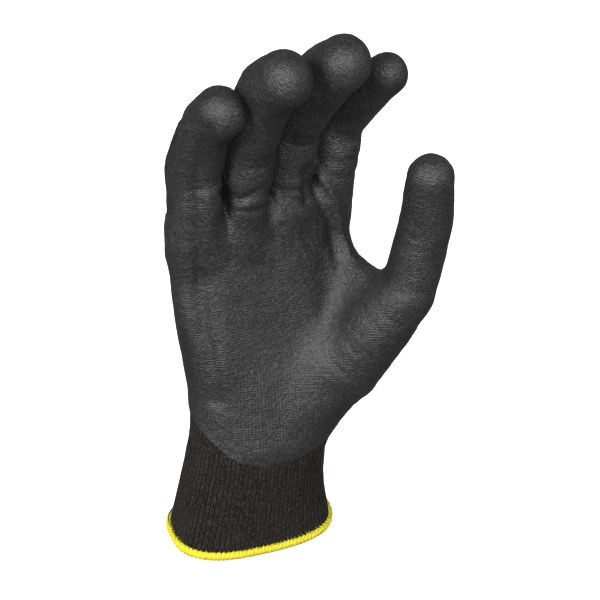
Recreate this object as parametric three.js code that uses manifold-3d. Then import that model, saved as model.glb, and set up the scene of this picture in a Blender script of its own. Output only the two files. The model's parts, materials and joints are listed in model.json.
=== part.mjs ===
// Cut resistant work glove for the right hand: a knitted shell, a dipped coating over the palm side
// and the fingertips, a ribbed cuff with elastic yarns inside it, and an overlocked hem.
// It is hollow and keeps the pose of a relaxed hand: fingers up and curled towards the palm side.
// Millimetres. The origin is the centre of the hand opening in the plane of the hem. +Z runs from
// the hem to the fingertips, -Y is the palm side and +X is the thumb side.

import * as THREE from "three";
import { mergeVertices } from "three/addons/utils/BufferGeometryUtils.js";
import Module from "manifold-3d";

const manifold = await Module();
manifold.setup();

// ---- Driving dimensions ----

const degree = Math.PI / 180;

// Layers, from the outside in. An inset is a depth below the outer skin of the glove.
const layerGap = 0.3;
const coatingWall = 0.6;
const knitWall = 1.2;
const knitInset = coatingWall + layerGap;
const hollowInset = knitInset + knitWall;

// Half of the space between two sections at their hinge line, and how far a boring tool runs past
// an open end.
const hingeGap = 0.4;
const overrun = 9;

// Round sections: sides of a full turn, how much narrower a finger is than deep, and the half angle
// that the coating wraps round a finger from its pad.
const fingerSides = 14;
const fingerSquash = 0.93;
const coatingHalfArc = 102 * degree;

// Wrist: the bending line, the half width and half depth there, and the lean of the palm backwards.
const wristHeight = 52;
const wristHalfWidth = 31;
const wristHalfDepth = 21.5;
const palmLean = 15 * degree;
const wristRange = { bend: 45, back: 25 };

// Cuff: height, half width and half depth of the rib knit, from the hem up to the wrist.
const cuffSides = 24;
const cuffProfile = [
  [2.6, 36, 23.2],
  [12, 34.4, 22.8],
  [30, 31.6, 21.8],
  [wristHeight, wristHalfWidth, wristHalfDepth],
];
const cuffWall = 1.4;

// Hem: an overlock seam that wraps the cuff's lower edge.
const hemHeight = 7;
const hemThread = 1.1;
const hemFloor = 2.3;

// Elastic yarns: rings that lie against the inside of the cuff.
const elasticCount = 6;
const elasticSize = 0.9;
const elasticFirst = 10.5;
const elasticPitch = 5;

// Palm: for each level above the wrist line, the edges on the little finger's and the thumb's side,
// the depth of the palm side and the back, and the exponent of the rounded section.
const palmSides = 24;
const palmLevels = [
  { up: 0, low: -31, high: 31, front: 21.5, back: 21.5, power: 2 },
  { up: 22, low: -33.5, high: 34, front: 19.5, back: 18, power: 2.2 },
  { up: 48, low: -38, high: 38, front: 16.5, back: 15, power: 2.4 },
  { up: 78, low: -41.5, high: 42, front: 14.5, back: 14, power: 2.5 },
  { up: 100, low: -42, high: 44.5, front: 13, back: 12.5, power: 2.4 },
  { up: 107.5, low: -41, high: 43.5, front: 9.5, back: 9.5, power: 2.2 },
];
const stumpRoot = 4;
const palmArch = 0.1;
const palmRise = 0.12;

// Lower edge of the coating on the palm: a shallow U, lowest near the middle of the wrist.
const coatingFoot = 8;
const coatingSideRise = 22;
const coatingBackDepth = 5;

// Fingers: the knuckle (across, towards the palm side, up from the wrist line), the bone lengths to
// the middle joint, the tip joint and the centre of the fingertip, the resting bends, the outer
// radius at each of those points, and two angles that aim the finger: splay in the palm's plane,
// and roll of the bending plane towards the thumb.
const fingers = {
  little: {
    knuckle: [-29.5, 3, 90],
    bones: [38, 23, 14.5],
    bends: [13, 21, 17],
    radii: [10.4, 9.9, 9.3, 8.6],
    splay: -8,
    roll: 12,
  },
  ring: {
    knuckle: [-10, 3, 91],
    bones: [46, 30.5, 17],
    bends: [16, 20, 20],
    radii: [11, 10.6, 10.3, 9.8],
    splay: -4,
    roll: 11.5,
  },
  middle: {
    knuckle: [10.2, -3, 94],
    bones: [48.5, 31, 16.5],
    bends: [16, 26, 13],
    radii: [11.2, 10.8, 10.6, 10],
    splay: 0,
    roll: 11,
  },
  index: {
    knuckle: [31, -5, 96.5],
    bones: [42.5, 27, 15.5],
    bends: [12, 35, 8],
    radii: [11, 10.6, 10.1, 9.3],
    splay: 4.5,
    roll: 9,
  },
};

// The stall of a finger folds this share of the first bone, and then this much, above the knuckle.
const crotchShare = 0.39;
const foldAboveCrotch = 7.5;
const baseRange = { bend: 45, back: 18 };
const middleBend = 50;
const tipFollow = 0.5;

// Thumb: root, knuckle, tip joint and centre of the tip, and where its pad faces (across, palm, up).
const thumb = {
  points: [[13, 5, 12], [31.5, 12, 33], [53.4, 30.6, 65], [57.2, 39.3, 101.1], [57.6, 45.2, 120]],
  radii: [14, 16.2, 12.3, 11, 9.6],
  pad: [-0.85, 0.35, 0],
};
const thumbFold = 10;
const thumbBaseRange = { bend: 40, back: 15 };
const thumbTipRange = { bend: 50, back: 20 };

// Web between the thumb and the palm: centre, half height and half depth at its two ends.
const thumbWeb = [
  { at: [28, 2, 64], tall: 24, deep: 9.5 },
  { at: [50, 26, 62], tall: 11, deep: 9.5 },
];

// ---- Materials ----

const materials = {
  knit: new THREE.MeshStandardMaterial({ color: 0x2b2624, roughness: 0.95, metalness: 0 }),
  coating: new THREE.MeshStandardMaterial({ color: 0x3c3c3e, roughness: 0.6, metalness: 0 }),
  elastic: new THREE.MeshStandardMaterial({ color: 0x191716, roughness: 0.85, metalness: 0 }),
  thread: new THREE.MeshStandardMaterial({ color: 0xf2ea2e, roughness: 0.8, metalness: 0 }),
};

const glove = new THREE.Group();

function addNode(name, material, geometry) {
  const mesh = new THREE.Mesh(geometry, material);
  mesh.name = name;
  glove.add(mesh);
}

// ---- Hand frame ----

const across = new THREE.Vector3(1, 0, 0);
const palmUp = new THREE.Vector3(0, Math.sin(palmLean), Math.cos(palmLean));
const palmFront = new THREE.Vector3(0, -Math.cos(palmLean), Math.sin(palmLean));

function handVector([a, front, up]) {
  return new THREE.Vector3()
    .addScaledVector(across, a)
    .addScaledVector(palmFront, front)
    .addScaledVector(palmUp, up);
}

function handPoint(coordinates) {
  return handVector(coordinates).add(new THREE.Vector3(0, 0, wristHeight));
}

// ---- Closed shapes from rings of points ----

function signedVolume(points, index) {
  let volume = 0;
  const cross = new THREE.Vector3();
  for (let i = 0; i < index.length; i += 3) {
    cross.crossVectors(points[index[i + 1]], points[index[i + 2]]);
    volume += points[index[i]].dot(cross) / 6;
  }
  return volume;
}

function toGeometry(points, index) {
  if (signedVolume(points, index) < 0) {
    index.reverse();
  }
  const geometry = new THREE.BufferGeometry();
  geometry.setAttribute("position", new THREE.Float32BufferAttribute(points.flatMap((p) => p.toArray()), 3));
  geometry.setIndex(index);
  geometry.computeVertexNormals();
  return geometry;
}

// Two triangles per cell of a grid of vertex numbers.
function gridFaces(rows, flip) {
  const faces = [];
  for (let i = 0; i + 1 < rows.length; i += 1) {
    for (let j = 0; j + 1 < rows[i].length; j += 1) {
      const [a, b, c, d] = [rows[i][j], rows[i][j + 1], rows[i + 1][j + 1], rows[i + 1][j]];
      faces.push(...(flip ? [a, c, b, a, d, c] : [a, b, c, a, c, d]));
    }
  }
  return faces;
}

// A wall between an outer and an inner grid of points. A full turn closes on itself, a part turn
// gets two side edges, and a pair of apex points closes the last ring into a dome.
function wallGeometry(outer, inner, { fullTurn, apexes }) {
  const points = [...outer.flat(), ...inner.flat()];
  const width = outer[0].length;
  const row = (start) => {
    const numbers = Array.from({ length: width }, (_, j) => start + j);
    return fullTurn ? [...numbers, start] : numbers;
  };
  const outerRows = outer.map((_, i) => row(i * width));
  const innerRows = inner.map((_, i) => row((outer.length + i) * width));
  const faces = [...gridFaces(outerRows, false), ...gridFaces(innerRows, true)];
  faces.push(...gridFaces([outerRows[0], innerRows[0]], true));
  if (apexes) {
    points.push(...apexes);
    const [outerApex, innerApex] = [points.length - 2, points.length - 1];
    const lastOuter = outerRows.at(-1);
    const lastInner = innerRows.at(-1);
    for (let j = 0; j + 1 < lastOuter.length; j += 1) {
      faces.push(lastOuter[j], lastOuter[j + 1], outerApex);
      faces.push(lastInner[j + 1], lastInner[j], innerApex);
    }
  } else {
    faces.push(...gridFaces([outerRows.at(-1), innerRows.at(-1)], false));
  }
  if (!fullTurn) {
    const side = (rows, j) => rows.map((numbers) => numbers[j]);
    faces.push(...gridFaces([side(outerRows, 0), side(innerRows, 0)], false));
    faces.push(...gridFaces([side(outerRows, width - 1), side(innerRows, width - 1)], true));
  }
  return toGeometry(points, faces);
}

// A solid through a row of rings, closed by a fan at each end.
function solidGeometry(rings) {
  const points = rings.flat();
  const width = rings[0].length;
  const rows = rings.map((_, i) => Array.from({ length: width + 1 }, (_unused, j) => i * width + (j % width)));
  const faces = gridFaces(rows, false);
  for (const [end, flip] of [[0, true], [rings.length - 1, false]]) {
    const centre = new THREE.Vector3();
    rings[end].forEach((p) => centre.addScaledVector(p, 1 / width));
    points.push(centre);
    for (let j = 0; j < width; j += 1) {
      const [a, b] = [rows[end][j], rows[end][j + 1]];
      faces.push(...(flip ? [b, a, points.length - 1] : [a, b, points.length - 1]));
    }
  }
  return toGeometry(points, faces);
}

// ---- Cutting and joining ----

function toSolid(geometry) {
  const bare = geometry.clone();
  bare.deleteAttribute("normal");
  bare.deleteAttribute("uv");
  const merged = mergeVertices(bare);
  const mesh = new manifold.Mesh({
    numProp: 3,
    vertProperties: new Float32Array(merged.attributes.position.array),
    triVerts: new Uint32Array(merged.index.array),
  });
  return new manifold.Manifold(mesh);
}

function fromSolid(solid) {
  const mesh = solid.getMesh();
  const geometry = new THREE.BufferGeometry();
  geometry.setAttribute("position", new THREE.BufferAttribute(new Float32Array(mesh.vertProperties), 3));
  geometry.setIndex(new THREE.BufferAttribute(new Uint32Array(mesh.triVerts), 1));
  geometry.computeVertexNormals();
  return geometry;
}

// ---- Hinge lines ----

// How far a section's end is cut back at a given offset towards the pad, so that it can bend by a
// total of twice these half angles before it meets its neighbour.
function roof(offset, cut) {
  return offset > 0 ? offset * Math.tan(cut.bend) : -offset * Math.tan(cut.back);
}

function hingeCut(restBend, range) {
  return {
    bend: (Math.max(restBend + range.bend, 0) * degree) / 2,
    back: (Math.max(range.back - restBend, 2) * degree) / 2,
  };
}

const wristCut = hingeCut(-palmLean / degree, wristRange);
const baseCut = hingeCut(0, baseRange);

// ---- Digits ----

// Each digit is a chain: points along its middle line, a direction for each bone, the outer radius
// at each point, and the side that the pad faces.
function fingerChain({ knuckle, bones, bends, radii, splay, roll }) {
  const [s, r] = [splay * degree, roll * degree];
  const straight = handVector([Math.sin(s), 0, Math.cos(s)]);
  const side = handVector([Math.cos(s), 0, -Math.sin(s)]);
  const pad = handVector([0, 1, 0]).multiplyScalar(Math.cos(r)).addScaledVector(side, Math.sin(r));
  let angle = 0;
  const directions = bends.map((bend) => {
    angle += bend * degree;
    return straight.clone().multiplyScalar(Math.cos(angle)).addScaledVector(pad, Math.sin(angle));
  });
  const points = [handPoint(knuckle)];
  bones.forEach((length, i) => points.push(points[i].clone().addScaledVector(directions[i], length)));
  const fold = bones[0] * crotchShare + foldAboveCrotch;
  const share = fold / bones[0];
  return {
    points: [points[0], points[0].clone().addScaledVector(directions[0], fold), ...points.slice(1)],
    radii: [radii[0], radii[0] + (radii[1] - radii[0]) * share, ...radii.slice(1)],
    axis: new THREE.Vector3().crossVectors(straight, pad),
    cuts: [
      baseCut,
      hingeCut(bends[1], { bend: middleBend, back: bends[1] }),
      hingeCut(bends[2], { bend: middleBend * tipFollow, back: bends[1] * tipFollow }),
    ],
  };
}

function thumbChain() {
  const points = thumb.points.slice(2).map(handPoint);
  const bone = points[1].clone().sub(points[0]);
  const fold = points[0].clone().addScaledVector(bone, thumbFold / bone.length());
  const axis = new THREE.Vector3().crossVectors(bone, handVector(thumb.pad)).normalize();
  const tipBone = points[2].clone().sub(points[1]);
  const restBend = Math.asin(new THREE.Vector3().crossVectors(bone, tipBone).dot(axis)
    / (bone.length() * tipBone.length())) / degree;
  const radii = thumb.radii.slice(2);
  const foldRadius = radii[0] + (radii[1] - radii[0]) * (thumbFold / bone.length());
  return {
    points: [points[0], fold, points[1], points[2]],
    radii: [radii[0], foldRadius, radii[1], radii[2]],
    axis,
    cuts: [hingeCut(0, thumbBaseRange), hingeCut(restBend, thumbTipRange)],
  };
}

// Points of one ring round a bone. shift gives the place along the bone from the offset to the pad.
function boneRing(bone, radius, shift, angles) {
  return angles.map((angle) => {
    const offset = radius * Math.cos(angle);
    return bone.from.clone()
      .addScaledVector(bone.pad, offset)
      .addScaledVector(bone.side, radius * Math.sin(angle) * fingerSquash)
      .addScaledVector(bone.along, shift(offset));
  });
}

// The axes of a ring at a point: along the digit, towards the pad and sideways.
function ringFrame(from, along, hingeAxis) {
  const pad = new THREE.Vector3().crossVectors(hingeAxis, along).normalize();
  return { from, along, pad, side: new THREE.Vector3().crossVectors(along, pad) };
}

function makeBone(chain, number) {
  const [from, to] = [chain.points[number], chain.points[number + 1]];
  return {
    ...ringFrame(from, to.clone().sub(from).normalize(), chain.axis),
    length: to.distanceTo(from),
    radiusFrom: chain.radii[number],
    radiusTo: chain.radii[number + 1],
  };
}

function turnAngles(halfArc) {
  if (halfArc === Math.PI) {
    return Array.from({ length: fingerSides }, (_, j) => (2 * Math.PI * j) / fingerSides);
  }
  const steps = Math.round((fingerSides * halfArc) / Math.PI);
  return Array.from({ length: steps + 1 }, (_, j) => -halfArc + (2 * halfArc * j) / steps);
}

// Rings along a bone at a given inset: cut back at both ends, or domed over the fingertip.
function boneRings(bone, inset, cuts, angles) {
  const start = (offset) => hingeGap + roof(offset, cuts.from);
  const rings = [boneRing(bone, bone.radiusFrom - inset, start, angles)];
  if (cuts.to) {
    const end = (offset) => bone.length - hingeGap - roof(offset, cuts.to);
    rings.push(boneRing(bone, bone.radiusTo - inset, end, angles));
    return { rings };
  }
  const domeRadius = bone.radiusTo - inset;
  for (const slope of [0, 30, 60]) {
    const lift = bone.length + domeRadius * Math.sin(slope * degree);
    rings.push(boneRing(bone, domeRadius * Math.cos(slope * degree), () => lift, angles));
  }
  return { rings, apex: bone.from.clone().addScaledVector(bone.along, bone.length + domeRadius) };
}

function boneWall(bone, cuts, inset, wall, halfArc) {
  const angles = turnAngles(halfArc);
  const outer = boneRings(bone, inset, cuts, angles);
  const inner = boneRings(bone, inset + wall, cuts, angles);
  return wallGeometry(outer.rings, inner.rings, {
    fullTurn: halfArc === Math.PI,
    apexes: outer.apex ? [outer.apex, inner.apex] : null,
  });
}

function addDigit(digit, chain, sectionNames) {
  sectionNames.forEach((section, i) => {
    const bone = makeBone(chain, i + 1);
    const isTip = i === sectionNames.length - 1;
    const cuts = { from: chain.cuts[i], to: isTip ? null : chain.cuts[i + 1] };
    const halfArc = isTip ? Math.PI : coatingHalfArc;
    addNode(`${digit}_knit_${section}`, materials.knit, boneWall(bone, cuts, knitInset, knitWall, Math.PI));
    addNode(`${digit}_coating_${section}`, materials.coating, boneWall(bone, cuts, 0, coatingWall, halfArc));
  });
}

// ---- Palm ----

function roundedRing(centre, widthAxis, depthAxis, { halfWidth, front, back, power }, sides) {
  return Array.from({ length: sides }, (_, j) => {
    const angle = (2 * Math.PI * j) / sides;
    const [c, s] = [Math.cos(angle), Math.sin(angle)];
    const depth = (s > 0 ? front : back) * Math.sign(s) * Math.abs(s) ** (2 / power);
    return centre.clone()
      .addScaledVector(widthAxis, halfWidth * Math.sign(c) * Math.abs(c) ** (2 / power))
      .addScaledVector(depthAxis, depth);
  });
}

// The palm's own body: rings square to the palm, arched across and rising towards the thumb's side,
// with the wrist end cut back for bending.
function palmBody(inset, extension) {
  const rings = palmLevels.map(({ up, low, high, front, back, power }, i) => {
    const isTop = i === palmLevels.length - 1;
    const centre = handPoint([(low + high) / 2, 0, up - (isTop ? inset : 0)]);
    const size = { halfWidth: (high - low) / 2 - inset, front: front - inset, back: back - inset, power };
    return roundedRing(centre, across, palmFront, size, palmSides);
  });
  rings.forEach((ring, i) => {
    const share = palmLevels[i].up / 100;
    ring.forEach((p) => {
      p.addScaledVector(palmUp, p.x * palmRise * share);
      p.addScaledVector(palmFront, -p.x * palmArch * share);
    });
  });
  const wristOrigin = handPoint([0, 0, 0]);
  rings[0].forEach((p) => {
    const offset = p.clone().sub(wristOrigin).dot(palmFront);
    p.addScaledVector(palmUp, hingeGap + roof(offset, wristCut));
  });
  if (extension > 0) {
    rings.unshift(rings[0].map((p) => p.clone().addScaledVector(palmUp, -extension)));
  }
  return toSolid(solidGeometry(rings));
}

// The end of a stall below its fold: the last ring, and one further out for boring it through.
function foldRings(chain, inset, extension) {
  const bone = makeBone(chain, 0);
  const end = (offset) => bone.length - hingeGap - roof(offset, chain.cuts[0]);
  const last = boneRing(bone, bone.radiusTo - inset, end, turnAngles(Math.PI));
  if (extension === 0) {
    return [last];
  }
  return [last, last.map((p) => p.clone().addScaledVector(bone.along, extension))];
}

// The start of a finger stall, from inside the palm up to its fold.
function stump(chain, inset, extension) {
  const bone = makeBone(chain, 0);
  const start = boneRing(bone, bone.radiusFrom - inset, () => inset - stumpRoot, turnAngles(Math.PI));
  return toSolid(solidGeometry([start, ...foldRings(chain, inset, extension)]));
}

// The ball of the thumb and the start of its stall: a fat tube from inside the palm to the fold.
function thumbBall(inset, extension) {
  const points = thumb.points.slice(0, 4).map(handPoint);
  const rings = [0, 1, 2].map((i) => {
    const along = points[i + 1].clone().sub(points[Math.max(i - 1, 0)]).normalize();
    const frame = ringFrame(points[i], along, chains.thumb.axis);
    return boneRing(frame, thumb.radii[i] - inset, () => (i === 0 ? inset : 0), turnAngles(Math.PI));
  });
  return toSolid(solidGeometry([...rings, ...foldRings(chains.thumb, inset, extension)]));
}

function webBody(inset) {
  const points = thumbWeb.map(({ at }) => handPoint(at));
  const along = points[1].clone().sub(points[0]).normalize();
  const tallAxis = palmUp.clone().addScaledVector(along, -palmUp.dot(along)).normalize();
  const depthAxis = new THREE.Vector3().crossVectors(along, tallAxis);
  const rings = thumbWeb.map(({ tall, deep }, i) => {
    const size = { halfWidth: tall - inset, front: deep - inset, back: deep - inset, power: 2 };
    return roundedRing(points[i], tallAxis, depthAxis, size, 20);
  });
  return toSolid(solidGeometry(rings));
}

const chains = {
  little: fingerChain(fingers.little),
  ring: fingerChain(fingers.ring),
  middle: fingerChain(fingers.middle),
  index: fingerChain(fingers.index),
  thumb: thumbChain(),
};

function palmSolid(inset, extension) {
  let solid = palmBody(inset, extension).add(thumbBall(inset, extension)).add(webBody(inset));
  for (const finger of Object.keys(fingers)) {
    solid = solid.add(stump(chains[finger], inset, extension));
  }
  return solid;
}

// The space in front of the coating's edge: a plate seen from the palm side, whose lower edge is a
// shallow U, deep enough to hold the palm, the thumb's ball and half of each finger's stall.
function coatingRegion() {
  const outline = new THREE.Shape();
  const [reach, top] = [90, 190];
  outline.moveTo(-reach, top);
  outline.lineTo(-reach, coatingFoot + coatingSideRise);
  outline.lineTo(-34, coatingFoot + coatingSideRise);
  outline.quadraticCurveTo(-24, coatingFoot, 0, coatingFoot);
  outline.quadraticCurveTo(24, coatingFoot, 34, coatingFoot + coatingSideRise / 2);
  outline.lineTo(reach, coatingFoot + coatingSideRise / 2);
  outline.lineTo(reach, top);
  outline.closePath();
  const plate = new THREE.ExtrudeGeometry(outline, { depth: 100, bevelEnabled: false, curveSegments: 8 });
  const placing = new THREE.Matrix4().makeBasis(across, palmUp, palmFront.clone());
  placing.setPosition(handPoint([0, -coatingBackDepth, 0]));
  plate.applyMatrix4(placing);
  return toSolid(plate);
}

function addPalm() {
  const knit = palmSolid(knitInset, 0).subtract(palmSolid(hollowInset, overrun));
  addNode("palm_knit", materials.knit, fromSolid(knit));
  const skin = palmSolid(0, 0).subtract(palmSolid(coatingWall, overrun));
  addNode("palm_coating", materials.coating, fromSolid(skin.intersect(coatingRegion())));
}

// ---- Cuff ----

// Half width and half depth of the cuff's outside at a height.
function cuffSize(height) {
  const next = Math.max(cuffProfile.findIndex(([z]) => z > height), 1);
  const upper = next < cuffProfile.length ? next : cuffProfile.length - 1;
  const [z0, w0, d0] = cuffProfile[upper - 1];
  const [z1, w1, d1] = cuffProfile[upper];
  const share = (height - z0) / (z1 - z0);
  return [w0 + (w1 - w0) * share, d0 + (d1 - d0) * share];
}

function ellipseRing(height, halfWidth, halfDepth) {
  return Array.from({ length: cuffSides }, (_, j) => {
    const angle = (2 * Math.PI * j) / cuffSides;
    return new THREE.Vector3(halfWidth * Math.cos(angle), halfDepth * Math.sin(angle), height);
  });
}

function addRibKnit() {
  const rings = (inset) => cuffProfile.map(([z, w, d]) => {
    const ring = ellipseRing(z, w - inset, d - inset);
    if (z === wristHeight) {
      ring.forEach((p) => p.setZ(z - hingeGap - roof(-p.y, wristCut)));
    }
    return ring;
  });
  addNode("cuff_rib_knit", materials.knit, wallGeometry(rings(0), rings(cuffWall), { fullTurn: true }));
}

// A closed band: an outline in (distance outwards from the cuff's outside, height), swept round.
function bandGeometry(outline) {
  const rings = outline.map(([out, z]) => {
    const [w, d] = cuffSize(z);
    return ellipseRing(z, w + out, d + out);
  });
  const points = rings.flat();
  const rows = [...rings, rings[0]].map((_, i) => {
    const start = (i % rings.length) * cuffSides;
    return Array.from({ length: cuffSides + 1 }, (_unused, j) => start + (j % cuffSides));
  });
  return toGeometry(points, gridFaces(rows, false));
}

function addHem() {
  const [outside, inside] = [layerGap, -cuffWall - layerGap];
  addNode("hem_overlock", materials.thread, bandGeometry([
    [outside + hemThread * 0.6, 0],
    [outside + hemThread, 1.2],
    [outside + hemThread, hemHeight - 0.6],
    [outside + 0.3, hemHeight],
    [outside, hemHeight - 0.4],
    [outside, hemFloor],
    [inside, hemFloor],
    [inside, hemHeight - 0.4],
    [inside - 0.3, hemHeight],
    [inside - hemThread, hemHeight - 0.6],
    [inside - hemThread, 1.2],
    [inside - hemThread * 0.6, 0],
  ]));
}

function addElastics() {
  for (let i = 0; i < elasticCount; i += 1) {
    const z = elasticFirst + i * elasticPitch;
    const out = -cuffWall - layerGap - elasticSize / 2;
    const half = elasticSize / 2;
    const name = `cuff_elastic_${String(i + 1).padStart(2, "0")}`;
    addNode(name, materials.elastic, bandGeometry([
      [out + half, z],
      [out, z + half],
      [out - half, z],
      [out, z - half],
    ]));
  }
}

// ---- Assembly ----

addRibKnit();
addHem();
addElastics();
addPalm();
for (const finger of Object.keys(fingers)) {
  addDigit(finger, chains[finger], ["base", "middle", "tip"]);
}
addDigit("thumb", chains.thumb, ["base", "tip"]);

export default glove;
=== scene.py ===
"""A cut resistant work glove for the right hand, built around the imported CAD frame.

The glove's skin is one smooth distance field: a palm, a cuff and five digits that follow the frame's
joints. It is meshed once, wrinkled, and parted into the pieces that ride on the CAD bodies. The knit and
the dipped coating are separate shells. Lengths are millimetres until a mesh is written, and metres for
the floor and the lights.
"""

import json
import math

import bpy
import numpy as np
import openvdb
from mathutils import Matrix, Vector, noise


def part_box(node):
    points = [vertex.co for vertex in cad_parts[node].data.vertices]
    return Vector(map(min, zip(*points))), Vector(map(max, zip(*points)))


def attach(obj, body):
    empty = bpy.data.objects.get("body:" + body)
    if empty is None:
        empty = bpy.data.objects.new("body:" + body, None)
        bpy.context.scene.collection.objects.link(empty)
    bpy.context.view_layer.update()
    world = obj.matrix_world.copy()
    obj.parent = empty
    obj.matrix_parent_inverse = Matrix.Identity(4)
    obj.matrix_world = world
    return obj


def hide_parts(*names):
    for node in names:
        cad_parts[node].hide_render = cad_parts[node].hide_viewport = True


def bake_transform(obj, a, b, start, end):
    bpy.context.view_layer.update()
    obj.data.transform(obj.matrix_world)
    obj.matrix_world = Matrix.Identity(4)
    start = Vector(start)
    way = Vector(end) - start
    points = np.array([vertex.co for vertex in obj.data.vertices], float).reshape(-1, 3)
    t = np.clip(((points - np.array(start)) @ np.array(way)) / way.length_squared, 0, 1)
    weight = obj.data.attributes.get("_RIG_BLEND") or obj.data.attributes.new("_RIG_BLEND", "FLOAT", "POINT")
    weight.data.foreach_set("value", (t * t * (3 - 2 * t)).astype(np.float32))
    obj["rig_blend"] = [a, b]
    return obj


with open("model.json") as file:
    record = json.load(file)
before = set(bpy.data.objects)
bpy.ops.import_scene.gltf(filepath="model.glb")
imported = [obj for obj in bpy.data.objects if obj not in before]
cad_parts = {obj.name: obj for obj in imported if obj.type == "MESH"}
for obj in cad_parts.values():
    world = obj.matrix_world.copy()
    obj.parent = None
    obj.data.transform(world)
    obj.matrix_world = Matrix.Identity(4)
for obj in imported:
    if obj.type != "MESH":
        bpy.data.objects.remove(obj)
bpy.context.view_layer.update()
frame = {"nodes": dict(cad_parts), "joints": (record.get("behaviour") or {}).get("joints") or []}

# ---- Sizes ----

MM = 0.001
STEP = 0.79

# How far the knit lies under the coating's outside, the two walls, and the least gap between fingers.
KNIT_DEPTH = 0.45
KNIT_WALL = 1.1
CUFF_WALL = 1.4
STALL_GAP = 1.6

# A finger's width as a share of its depth, and how far the palm leans back.
FINGER_SQUASH = 0.95
PALM_LEAN = math.radians(15)

# The knit's columns of stitches and its rows.
WALE = 1.5
COURSE = 1.15

JOINTS = {j["name"]: j for j in frame["joints"]}


def joint_place(name):
    return np.array(JOINTS[name]["pos_m"]) / MM


def joint_axis(name):
    axis = np.array(JOINTS[name]["axis"], float)
    return axis / np.linalg.norm(axis)


# ---- Hand frame: across to the thumb's side, front to the palm's side, up from the wrist ----

WRIST = joint_place("wrist_bend")
ACROSS = np.array([1.0, 0.0, 0.0])
UP = np.array([0.0, math.sin(PALM_LEAN), math.cos(PALM_LEAN)])
FRONT = np.array([0.0, -math.cos(PALM_LEAN), math.sin(PALM_LEAN)])


def hand_point(across, front, up):
    return WRIST + across * ACROSS + front * FRONT + up * UP


def to_hand(points):
    offset = points - WRIST.astype(points.dtype)
    basis = np.stack([ACROSS, FRONT, UP], axis=1).astype(points.dtype)
    local = offset @ basis
    return local[:, 0], local[:, 1], local[:, 2]


# ---- Distance functions ----


def ramp(value, low, high):
    """A smooth change from 0 at low to 1 at high."""
    share = np.clip((value - low) / (high - low), 0, 1)
    return share * share * (3 - 2 * share)


def bell(distance, reach):
    return np.exp(-((distance / reach) ** 2))


def smooth_min(a, b, blend):
    overlap = np.maximum(blend - np.abs(a - b), 0) / blend
    return np.minimum(a, b) - overlap * overlap * blend * 0.25


def smooth_max(a, b, blend):
    return -smooth_min(-a, -b, blend)


def segment_distance(points, start, end, start_radius, end_radius):
    along = end - start
    share = np.clip((points - start) @ along / (along @ along), 0, 1)
    nearest = start + share[:, None] * along
    radius = start_radius + (end_radius - start_radius) * share
    return np.linalg.norm(points - nearest, axis=1) - radius


def triangle_distance(points, a, b, c, radius):
    normal = np.cross(b - a, a - c)
    corners = ((a, b - a), (b, c - b), (c, a - c))
    edge = None
    inside = 0
    for corner, side in corners:
        offset = points - corner
        inside = inside + np.sign(offset @ np.cross(side, normal))
        share = np.clip(offset @ side / (side @ side), 0, 1)
        square = ((offset - share[:, None] * side) ** 2).sum(1)
        edge = square if edge is None else np.minimum(edge, square)
    face = ((points - a) @ normal) ** 2 / (normal @ normal)
    return np.sqrt(np.where(inside < 2, edge, face)) - radius


def catmull_rom(points, per_span):
    """A smooth path through points, with the place of each sample counted in spans."""
    padded = [2 * points[0] - points[1], *points, 2 * points[-1] - points[-2]]
    samples = []
    for i in range(len(points) - 1):
        p0, p1, p2, p3 = padded[i : i + 4]
        for t in np.arange(per_span) / per_span:
            straight = 2 * p1 + (p2 - p0) * t
            square = (2 * p0 - 5 * p1 + 4 * p2 - p3) * t**2
            cube = (3 * p1 - p0 - 3 * p2 + p3) * t**3
            samples.append(0.5 * (straight + square + cube))
    samples.append(points[-1])
    return np.array(samples), np.arange(len(samples)) / per_span


# ---- Digits ----

FINGERS = ("little", "ring", "middle", "index")
DIGITS = (*FINGERS, "thumb")
SECTIONS = {digit: ("base", "middle", "tip") for digit in FINGERS}
SECTIONS["thumb"] = ("base", "tip")

# Outer radius at the root, the base fold, each joint and the centre of the fingertip.
RADII = {
    "little": (12.4, 13.4, 12.6, 11.1, 10.8),
    "ring": (11.8, 12.3, 12.8, 12.6, 11.7),
    "middle": (11.8, 11.5, 12.1, 12.8, 11.6),
    "index": (11.8, 11.3, 10.7, 9.9, 8.8),
    "thumb": (13.4, 17.9, 12.6, 11.6, 11.4, 9.8),
}
TIP_REACH = {"little": 2.4, "ring": 0.8, "middle": 1.2, "index": -1.4, "thumb": 2.6}

# How far each joint and the fingertip's centre lie to the thumb's side of the CAD's middle line.
LEAN = {
    "little": (1.5, 1.1, 1.0, 2.0),
    "ring": (-0.3, -0.6, -1.1, -0.3),
    "middle": (0, -0.3, -0.8, -0.3),
    "index": (0, 0, -0.3, -0.9),
    "thumb": (1.5, 1.5, -0.3),
}

# How far a finger's middle line runs into the palm, and the thumb's way through its ball.
FINGER_ROOT = 23
THUMB_BALL = ((17, 5, 12), (33.5, 12, 32), (50.6, 30, 62))
SPAN_STEPS = 6

# A digit's skin starts just below its base fold, and bends this far to each side of a joint.
BASE_SPLIT = -8.6
BEND_REACH = 8.0

# Skin within this distance of a digit's own surface belongs to the digit.
CLAIM = {digit: 3.5 for digit in FINGERS}
CLAIM["thumb"] = 9.0


def joint_names(digit):
    verb = "open" if digit == "thumb" else "bend"
    return [f"{digit}_{section}_{verb}" for section in SECTIONS[digit]]


def tip_apex(digit):
    """The point of the CAD fingertip furthest from its joint."""
    hinge = joint_place(joint_names(digit)[-1])
    node = frame["nodes"][f"{digit}_coating_tip"]
    points = np.array([v.co for v in node.data.vertices], float) / MM
    return points[np.argmax(np.linalg.norm(points - hinge, axis=1))]


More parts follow.
